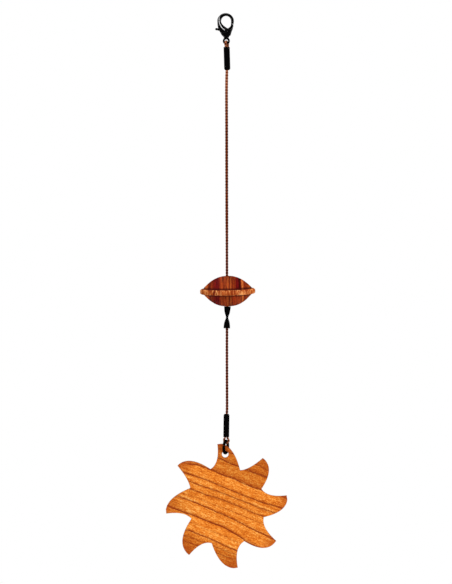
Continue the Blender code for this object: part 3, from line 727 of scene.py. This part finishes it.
def ring_points(rings, sides):
    """A wire bent round a circle, from one cut end to the other, with its cut edges eased.

    Its section is an oval, a third wider along the ring's axis than across it.
    """
    half_gap = RING_SPLIT_GAP / RING_RADIUS / 2
    turns = np.linspace(RING_SPLIT_ANGLE + half_gap, RING_SPLIT_ANGLE + 2 * np.pi - half_gap, rings)
    ease = np.full(rings, RING_WIRE_RADIUS)
    ease[[0, -1]] -= 0.08
    ease[[1, -2]] -= 0.02
    away = np.stack([np.zeros(rings), np.cos(turns), np.sin(turns)], axis=1)
    around = np.linspace(0, 2 * np.pi, sides, endpoint=False)
    section = np.cos(around)[:, None] * away[:, None, :] - np.sin(around)[:, None] * np.array([1.35, 0.0, 0.0])
    points = RING_RADIUS * away[:, None, :] + ease[:, None, None] * section
    turn = Matrix.Rotation(RING_TURN, 3, "Z") @ Matrix.Rotation(RING_LEAN, 3, "Y")
    return points.reshape(-1, 3) @ np.array(turn).T + RING_CENTRE


link = mesh_object("link", ring_points(200, 28), tube_faces(200, 28))
dress(link, satin_black, "line", "black_metal", "link_ring")


# Sail
# A sun sawn from one thin board, with eight rays that lean the same way round, its arrises lightly sanded, and a
# hole drilled in the top ray for the ring. The grain falls to the right across the whole board.

SAIL_CENTRE = (-0.05, -245.05)
SAIL_THICKNESS = 2.5
SAIL_EDGE_ROUND = 0.28
SAIL_HOLE_CENTRE = (-0.45, -219.15)
SAIL_HOLE_RADIUS = 1.65
SAIL_BACK_LEAN = 0.3
SAIL_FRONT_LEAN = 0.3
# Each ray as it was sawn: the tip's turn clockwise from the top and its reach, the width of its blunt end, the
# bulge of its back, the hollow of its front, and the turn and reach of the valley behind it
SAIL_RAYS = np.array((
    (-7.9, 31.2, 2.3, 2.10, 1.85, 21.6, 19.2),
    (37.5, 30.2, 1.0, 2.85, 1.00, 64.1, 19.7),
    (80.1, 30.8, 2.2, 2.25, 1.85, 106.2, 19.7),
    (124.8, 30.5, 0.4, 3.25, 1.80, 152.4, 19.8),
    (169.2, 31.3, 1.9, 2.55, 2.15, 201.1, 19.9),
    (217.0, 30.6, 1.0, 3.35, 1.85, 249.6, 18.4),
    (262.9, 30.1, 2.0, 2.00, 1.60, 296.6, 20.0),
    (309.8, 31.5, 0.8, 2.65, 0.80, 337.1, 20.0),
))


def bowed(start, end, bulge, lean, t):
    """Curves from starts to ends that stand bulge to the left of their chords.

    Each is the parabola whose control point is lean of the way along the chord and twice the bulge from it.
    """
    chord = end - start
    length = np.linalg.norm(chord, axis=-1)
    left = np.stack([-chord[:, 1], chord[:, 0]], axis=-1) / length[:, None]
    run = 2 * t * (1 - t) * lean + t**2
    rise = 4 * bulge[:, None] * t * (1 - t)
    return start[:, None] + chord[:, None] * run[:, None] + left[:, None] * rise[..., None]


def sail_outline(steps):
    """Every ray's front from the valley before it to its tip, its blunt end, and its back to the next valley."""

    def place(turn, reach):
        angle = np.radians(turn)
        return np.stack([SAIL_CENTRE[0] + reach * np.sin(angle), SAIL_CENTRE[1] + reach * np.cos(angle)], axis=-1)

    turn, reach, blunt, bulge, hollow, valley_turn, valley_reach = SAIL_RAYS.T
    tip = place(turn, reach)
    tip_end = place(turn + np.degrees(blunt / reach), reach)
    valley = place(valley_turn, valley_reach)
    front = bowed(np.roll(valley, 1, axis=0), tip, -hollow, SAIL_FRONT_LEAN, np.linspace(0, 1, steps + 1))
    back = bowed(tip_end, valley, bulge, SAIL_BACK_LEAN, np.linspace(0, 1, steps, endpoint=False))
    return np.concatenate([front, back], axis=1).reshape(-1, 2)


def inset(loop, distance):
    """Move each corner of a loop inward along the mitre of its two sides. The loop runs counterclockwise."""
    into = unit(loop - np.roll(loop, 1, axis=0))
    out = unit(np.roll(loop, -1, axis=0) - loop)
    left_in = np.stack([-into[:, 1], into[:, 0]], axis=1)
    left_out = np.stack([-out[:, 1], out[:, 0]], axis=1)
    mitre = unit(left_in + left_out)
    reach = distance / np.maximum(0.45, (mitre * left_in).sum(axis=1))
    return loop + mitre * reach[:, None]


def sail_mesh():
    """The outline and the hole carried round the board's edge through quarter rounds, with flat faces between.

    A level's inset is the round's radius times one less the cosine of its angle, and its depth below the face is
    that radius times one less the sine. One more ring just inside each flat keeps the flat's shading true.
    """
    half = SAIL_THICKNESS / 2
    angle = np.linspace(np.pi / 2, 0, 7)
    shrink = np.concatenate([[SAIL_EDGE_ROUND + 0.15], SAIL_EDGE_ROUND * (1 - np.cos(angle))])
    depth = np.concatenate([[half], half - SAIL_EDGE_ROUND * (1 - np.sin(angle))])
    shrink = np.concatenate([shrink, shrink[::-1]])
    depth = np.concatenate([depth, -depth[::-1]])
    hole_turns = np.linspace(0, -2 * np.pi, 96, endpoint=False)
    hole = np.array(SAIL_HOLE_CENTRE) + SAIL_HOLE_RADIUS * np.stack([np.cos(hole_turns), np.sin(hole_turns)], axis=1)
    loops = [sail_outline(28)[::-1], hole]
    points, faces, flats = [], [], ([], [])
    first = 0
    for loop in loops:
        count = len(loop)
        for amount, level in zip(shrink, depth):
            ring = inset(loop, amount)
            points.append(np.stack([ring[:, 0], np.full(count, level), ring[:, 1]], axis=1))
        faces += tube_faces(len(shrink), count, first)[:-2]
        flats[0].append((first, count, points[-len(shrink)]))
        flats[1].append((first + (len(shrink) - 1) * count, count, points[-1]))
        first += len(shrink) * count
    points = np.vstack(points)
    for flat, facing in zip(flats, (-1, 1)):
        numbers = np.array([k for start, count, _ in flat for k in range(start, start + count)])
        outline = [[Vector((x, z, 0.0)) for x, _, z in ring] for _, _, ring in flat]
        corners = numbers[np.array(tessellate_polygon(outline))]
        a, b, c = (points[corners[:, k]][:, [0, 2]] for k in range(3))
        area = (b - a)[:, 0] * (c - a)[:, 1] - (b - a)[:, 1] * (c - a)[:, 0]
        wrong = area * facing < 0
        corners[wrong] = corners[wrong][:, ::-1]
        faces += corners.tolist()
    cut = np.clip((half - 0.02 - np.abs(points[:, 1])) / 0.2, 0, 1)
    return points, faces, cut


# The dark end of each year's growth on the face: its height over the board's centre at five places 12 mm apart
# from left to right, how dark it is, and how far the darker wood above it fades out
GROWTH_LINES = (
    ((38.0, 34.0, 29.5, 25.3, 21.6), 0.6, 1.2),
    ((35.5, 31.6, 27.2, 22.4, 16.6), 0.8, 1.8),
    ((31.2, 27.0, 22.3, 17.4, 13.0), 1.0, 2.8),
    ((21.8, 19.7, 15.0, 10.0, 5.9), 0.95, 3.6),
    ((17.9, 13.8, 8.9, 4.0, 0.0), 0.85, 1.3),
    ((14.8, 9.9, 5.65, 1.0, -3.35), 0.8, 1.2),
    ((11.0, 6.3, 2.3, -2.5, -7.2), 0.75, 1.2),
    ((7.6, 3.0, -1.6, -6.4, -11.4), 0.3, 1.0),
    ((4.9, 0.2, -4.9, -10.9, -16.9), 0.9, 1.8),
    ((-2.0, -6.5, -11.4, -18.9, -25.0), 1.0, 2.4),
    ((-5.5, -10.6, -15.6, -21.5, -27.0), 0.3, 1.0),
    ((-11.0, -14.7, -20.2, -24.6, -30.0), 0.9, 1.4),
    ((-14.0, -17.8, -22.6, -26.4, -31.5), 0.45, 0.9),
    ((-16.6, -20.8, -25.3, -29.0, -33.0), 0.6, 1.1),
)
# How light the board is across the grain, from its foot to its top
BOARD_TONES = (
    (-31.0, 0.70),
    (-21.0, 0.78),
    (-18.0, 1.02),
    (-12.0, 1.10),
    (-8.0, 1.0),
    (-3.0, 1.05),
    (2.0, 0.96),
    (8.0, 1.0),
    (13.0, 1.06),
    (15.5, 0.80),
    (20.0, 0.76),
    (31.0, 0.72),
)


def make_cherry():
    """Warm orange board: dark growth lines at their own places, fine fibres and flecks along the grain.

    Each line is a smooth curve through its five heights. Its darkness is a thin core with a paler shade above it,
    and where lines meet the darker one wins.
    """
    made, tree, shader = new_material("cherry_board")
    place = node(tree, "TexCoord", out=3)
    centred = node(tree, "Mapping", place, (0.00005, 0.0, 0.24505))
    grain = node(tree, "Mapping", centred, None, (0.0, math.radians(-22.0), 0.0), (1000.0, 1000.0, 1000.0))
    face = node(tree, "SeparateXYZ", node(tree, "Mapping", centred, None, None, (1000.0, 1000.0, 1000.0))).node
    across = node(tree, "SeparateXYZ", grain, out=2)
    slow = node(tree, "TexNoise", node(tree, "Mapping", grain, None, None, (0.11, 0.05, 0.10)), None, 1.0, 2.0)
    ragged = node(tree, "TexNoise", node(tree, "Mapping", grain, None, None, (0.5, 0.3, 0.9)), None, 1.0, 3.0)
    wander = node(tree, "Math", node(tree, "MapRange", slow, 0.0, 1.0, -0.7, 0.7),
                  node(tree, "MapRange", ragged, 0.0, 1.0, -0.25, 0.25), operation="ADD")
    height = node(tree, "Math", face.outputs[2], wander, operation="ADD")
    run = node(tree, "MapRange", face.outputs[0], -24.0, 24.0, 0.0, 1.0, clamp=False)
    lines = None
    for heights, strength, above in GROWTH_LINES:
        curve = node(tree, "FloatCurve", 1.0, run).node
        points = curve.mapping.curves[0].points
        for _ in heights[2:]:
            points.new(0.5, 0.5)
        for number, level in enumerate(heights):
            points[number].location = (number / 4, (level + 40.0) / 80.0)
        curve.mapping.use_clip = False
        curve.mapping.update()
        line_height = node(tree, "MapRange", curve.outputs[0], 0.0, 1.0, -40.0, 40.0, clamp=False)
        level = node(tree, "Math", height, line_height, operation="SUBTRACT")
        rise = node(tree, "MapRange", level, -0.5, 0.0, 0.0, 1.0, interpolation_type="SMOOTHSTEP")
        core = node(tree, "MapRange", level, 0.1, 0.8, 1.0, 0.42, interpolation_type="SMOOTHSTEP")
        fade = node(tree, "MapRange", level, 0.3, above, strength, 0.0, interpolation_type="SMOOTHSTEP")
        line = node(tree, "Math", node(tree, "Math", rise, core, operation="MULTIPLY"), fade, operation="MULTIPLY")
        lines = line if lines is None else node(tree, "Math", lines, line, operation="MAXIMUM")
    # From the finest to the broadest: flecks, fibres, streaks and clouds, each with its share of the grain's value
    value = None
    for scales, detail, share in (
        ((1.3, 1.8, 2.5), 2.0, 1.2),
        ((0.35, 1.4, 2.0), 2.0, 0.9),
        ((0.05, 0.5, 0.9), 2.0, 0.6),
        ((0.05, 0.08, 0.22), 1.0, 0.2),
    ):
        noise = node(tree, "TexNoise", node(tree, "Mapping", grain, None, None, scales), None, 1.0, detail, 0.6)
        part = node(tree, "MapRange", noise, 0.0, 1.0, -share, share)
        value = part if value is None else node(tree, "Math", value, part, operation="ADD")
    level = node(tree, "MapRange", value, -0.75, 0.75, 0.0, 1.0)
    wood = ramp(tree, level, (
        (0.0, (0.42, 0.070, 0.003)),
        (0.3, (0.60, 0.135, 0.007)),
        (0.5, (0.74, 0.200, 0.016)),
        (0.7, (0.86, 0.300, 0.042)),
        (1.0, (0.98, 0.500, 0.130)),
    ))
    tones = ramp(tree, node(tree, "MapRange", across, -32.0, 32.0, 0.0, 1.0),
                 [((spot + 32.0) / 64.0, (tone * 0.5, tone**1.5 * 0.5, tone**2.5 * 0.5)) for spot, tone in BOARD_TONES])
    doubled = node(tree, "MixRGB", 1.0, tones, (2.0, 2.0, 2.0, 1.0), blend_type="MULTIPLY")
    sided = node(tree, "MapRange", face.outputs[0], -25.0, -14.0, 0.86, 1.0)
    toned = node(tree, "MixRGB", 1.0, node(tree, "MixRGB", 1.0, wood, doubled, blend_type="MULTIPLY"), sided,
                 blend_type="MULTIPLY")
    ink = node(tree, "Math", lines, node(tree, "MapRange", level, 0.2, 0.8, 1.25, 0.75), operation="MULTIPLY",
               use_clamp=True)
    lined = node(tree, "MixRGB", ink, toned, (0.23, 0.026, 0.002, 1.0))
    away = node(tree, "VectorMath", centred, out=1, operation="LENGTH")
    tips = node(tree, "MapRange", away, 0.0245, 0.0320, 0.0, 0.75)
    tipped = node(tree, "MixRGB", tips, lined, (0.36, 0.050, 0.004, 1.0))
    cut = node(tree, "Attribute", out=2, attribute_name="cut")
    scorched = node(tree, "Math", cut, 0.6, operation="MULTIPLY")
    colour = node(tree, "MixRGB", scorched, tipped, (0.20, 0.035, 0.004, 1.0))
    set_shader(
        tree,
        shader,
        Base_Color=colour,
        Roughness=node(tree, "MapRange", level, 0.2, 0.8, 0.62, 0.5),
        Specular_IOR_Level=0.08,
        Normal=bump(tree, level, 0.05, 0.3),
    )
    return made


sun_points, sun_faces, sun_cut = sail_mesh()
sun = mesh_object("sun_sail", sun_points, sun_faces, cut=sun_cut)
cherry_board = make_cherry()
dress(sun, cherry_board, "line", "cherry_wood", "sail")


# Clasp
# A small cast clasp under black enamel: a claw with two cheeks, a sprung lever between them with a gate and a
# finger knob, and a rivet through all three. The castings' edges are soft.


def cast_copy(name, source, voxel, smoothing):
    """A CAD casting as one even skin with softened edges: remeshed into cells of voxel millimetres, then smoothed."""
    mesh = bpy.data.objects[source].data.copy()
    mesh.name = name
    mesh.transform(Matrix.Scale(1 / MM, 4))
    thing = bpy.data.objects.new(name, mesh)
    bpy.context.scene.collection.objects.link(thing)
    weld = thing.modifiers.new("weld", "WELD")
    weld.merge_threshold = 0.001
    cells = thing.modifiers.new("cells", "REMESH")
    cells.mode = "VOXEL"
    cells.voxel_size = voxel
    soften = thing.modifiers.new("soften", "SMOOTH")
    soften.factor = 0.5
    soften.iterations = smoothing
    graph = bpy.context.evaluated_depsgraph_get()
    skin = bpy.data.meshes.new_from_object(thing.evaluated_get(graph))
    thing.modifiers.clear()
    thing.data = skin
    bpy.data.meshes.remove(mesh)
    skin.name = name
    skin.shade_smooth()
    return thing


def points_of(mesh):
    points = np.empty(len(mesh.vertices) * 3)
    mesh.vertices.foreach_get("co", points)
    return points.reshape(-1, 3)


def beside_line(points, line):
    """Each point's distance from a run of straight pieces, plus on its left, and how far along it is."""
    a, b = line[:-1], line[1:]
    step = b - a
    t = np.clip(((points[:, None] - a) * step).sum(-1) / (step**2).sum(-1), 0, 1)
    off = points[:, None] - (a + t[..., None] * step)
    far = np.linalg.norm(off, axis=-1)
    best = far.argmin(axis=1)
    rows = np.arange(len(points))
    side = np.sign(step[best, 0] * off[rows, best, 1] - step[best, 1] * off[rows, best, 0])
    length = np.linalg.norm(step, axis=1)
    start = np.concatenate([[0.0], np.cumsum(length)[:-1]])
    return far[rows, best] * side, start[best] + t[rows, best] * length[best]


# The edge of the claw's raised band, from the hook's left down to the rivet
BAND_EDGE = ((-2.9, 0.6), (-3.4, -0.6), (-3.52, -2.0), (-3.35, -3.8), (-2.35, -5.7), (-1.15, -6.9), (0.1, -7.75))
BAND_STEP = 0.24
BAND_SLOPE = 0.45

claw = cast_copy("clasp_claw", "clasp_body", 0.075, 10)
claw_points = points_of(claw.data)
# The cheeks taper to the neck a little fuller than they were drawn: how much wider, from the neck up. The
# widths run evenly into each other, as a moving mean over half a millimetre.
neck_heights = np.linspace(-11.5, -6.0, 111)
neck_widths = np.interp(
    neck_heights,
    (-10.8, -10.2, -9.75, -9.3, -8.6, -7.2, -6.6),
    (1.0, 1.12, 1.21, 1.12, 1.06, 1.04, 1.0),
)
neck_widths = np.convolve(np.pad(neck_widths, 5, "edge"), np.full(11, 1 / 11), "valid")
claw_points[:, 0] *= np.interp(claw_points[:, 2], neck_heights, neck_widths)
band_route = even_path(BAND_EDGE, 0.15)
band_side, band_run = beside_line(claw_points[:, [0, 2]], band_route)
band_end = length_of(band_route)
sunk = np.clip(0.5 - band_side / BAND_SLOPE, 0, 1)
sunk = BAND_STEP * sunk**2 * (3 - 2 * sunk)
sunk = sunk * np.clip(1 - (np.abs(band_side) - 1.0) / 0.9, 0, 1)
sunk = sunk * np.clip(band_run / 1.2, 0, 1) * np.clip((band_end - band_run) / 0.9, 0, 1)
outer_face = np.clip((np.abs(claw_points[:, 1]) - 0.85) / 0.2, 0, 1)
claw_points[:, 1] -= np.sign(claw_points[:, 1]) * sunk * outer_face
claw.data.vertices.foreach_set("co", (claw_points * MM).ravel())
claw.data.update()
# A painted highlight: the band's raised edge gets a thin line of bright metal where it catches the light. The numbers
# run on below 0 and above 1, so that the line's two sides stay smooth between the points.
band_highlight = np.minimum(1.5 - np.abs(band_side - 0.03) / 0.15, 2.0 * outer_face)
band_highlight = np.minimum(band_highlight, np.minimum(band_run / 0.8, (band_end - band_run + 0.3) / 0.6))
claw.data.attributes.new("painted_highlight_metal", "FLOAT", "POINT").data.foreach_set("value", band_highlight.astype(np.float32))
dress(claw, gloss_black, "line", "black_metal", "clasp_body")

lever = cast_copy("clasp_lever", "clasp_trigger", 0.07, 4)
lever_points = points_of(lever.data)
# The gate's end reaches up to within a hair of the hook's tip
tip_face = claw_points[(claw_points[:, 0] > 2.0) & (claw_points[:, 2] > -4.6) & (claw_points[:, 2] < -3.2)]
gate_end = np.flatnonzero((lever_points[:, 0] > 1.0) & (lever_points[:, 2] > -6.0))
to_tip = np.array([np.linalg.norm(tip_face - point, axis=1).min() for point in lever_points[gate_end]])
reach_up = 0.15 * np.clip((1.5 - to_tip) / 1.2, 0, 1)
lever_points[gate_end] += reach_up[:, None] * np.array([0.74, 0.0, 0.67])
# Its foot comes down to a hair above the cheeks' corners, and its outer face draws in towards them
GATE_FOOT = (3.15, -6.6)
GATE_SIDE = (3.5, -5.75)
for spot, shift in ((GATE_FOOT, (0.0, 0.0, -0.26)), (GATE_SIDE, (-0.15, 0.0, 0.0))):
    away = np.hypot(lever_points[:, 0] - spot[0], lever_points[:, 2] - spot[1])
    lever_points += np.exp(-((away / 0.55) ** 2))[:, None] * np.array(shift)
# The finger knob's stem is a little fuller on top where it leaves the cheeks
on_stem = np.exp(-(((lever_points[:, 0] + 3.8) / 0.45) ** 2))
lever_points[:, 2] += on_stem * 0.4 * np.clip(lever_points[:, 2] + 6.9, 0, 1)
lever.data.vertices.foreach_set("co", (lever_points * MM).ravel())
lever.data.update()
dress(lever, gloss_black, "trigger", "black_metal", "clasp_trigger")

RIVET_PLACE = (-0.05, 0.0, -7.8)
rivet_half = even_path([
    (0.02, 1.8), (0.3, 1.79), (0.6, 1.74), (0.78, 1.68), (0.8, 1.64), (0.78, 1.6), (0.6, 1.6), (0.47, 1.58),
    (0.45, 1.5), (0.45, 0.0),
], 0.05)
rivet_profile = np.vstack([rivet_half, (rivet_half * (1.0, -1.0))[-2::-1]])
rivet_turns = np.linspace(0, 2 * np.pi, 48, endpoint=False)
rivet_points = np.stack([
    rivet_profile[:, :1] * np.cos(rivet_turns),
    np.broadcast_to(rivet_profile[:, 1:], (len(rivet_profile), 48)),
    rivet_profile[:, :1] * np.sin(rivet_turns),
], axis=-1).reshape(-1, 3) + RIVET_PLACE
rivet = mesh_object("rivet", rivet_points, tube_faces(len(rivet_profile), 48))
dress(rivet, gloss_black, "line", "black_metal", "clasp_rivet")
